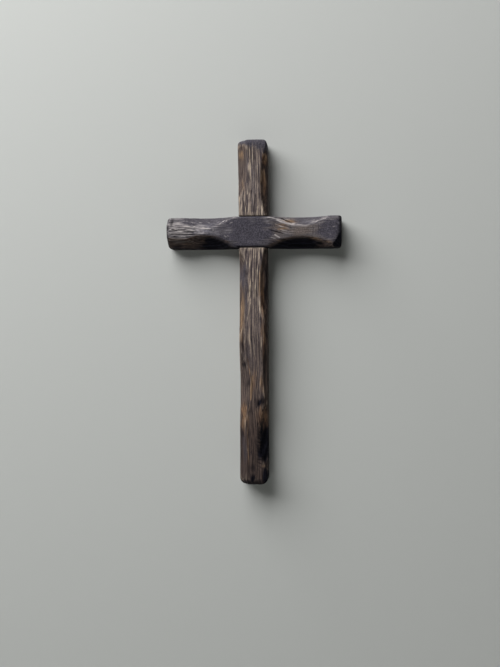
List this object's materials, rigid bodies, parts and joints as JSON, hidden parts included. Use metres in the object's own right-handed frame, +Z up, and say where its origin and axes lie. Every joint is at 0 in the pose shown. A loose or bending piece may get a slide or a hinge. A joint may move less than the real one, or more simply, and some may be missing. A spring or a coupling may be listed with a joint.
{
  "type": "wall cross",
  "caption": "Hand-hewn wooden wall cross of a post and a crossbeam in a flush cross lap, with a keyhole plate let into its back to hang it on a wall screw.",
  "frame": {"origin": "on the wall plane, at the post's back face behind the middle of the crossing", "axes": "+Z up the post, +X along the crossbeam to the right as seen from the front, -Y out of the wall to the viewer, +Y into the wall"},
  "size_m": [0.1554, 0.0256, 0.305],
  "materials": {
    "post_timber": "scorched, brushed and rubbed back, matte, open grain",
    "crossbeam_timber": "scorched and stained near black, matte, rubbed pale along the ridges",
    "plate_steel": "bright zinc plate",
    "plate_screw_steel": "bright zinc plate",
    "lap_screw_steel": "yellow zinc plate"
  },
  "bodies": {
    "root": {"post": "post_timber", "crossbeam": "crossbeam_timber", "keyhole_plate": "plate_steel", "plate_screw_upper": "plate_screw_steel", "plate_screw_lower": "plate_screw_steel", "lap_screw_upper": "lap_screw_steel", "lap_screw_lower": "lap_screw_steel"}
  },
  "joints": []
}
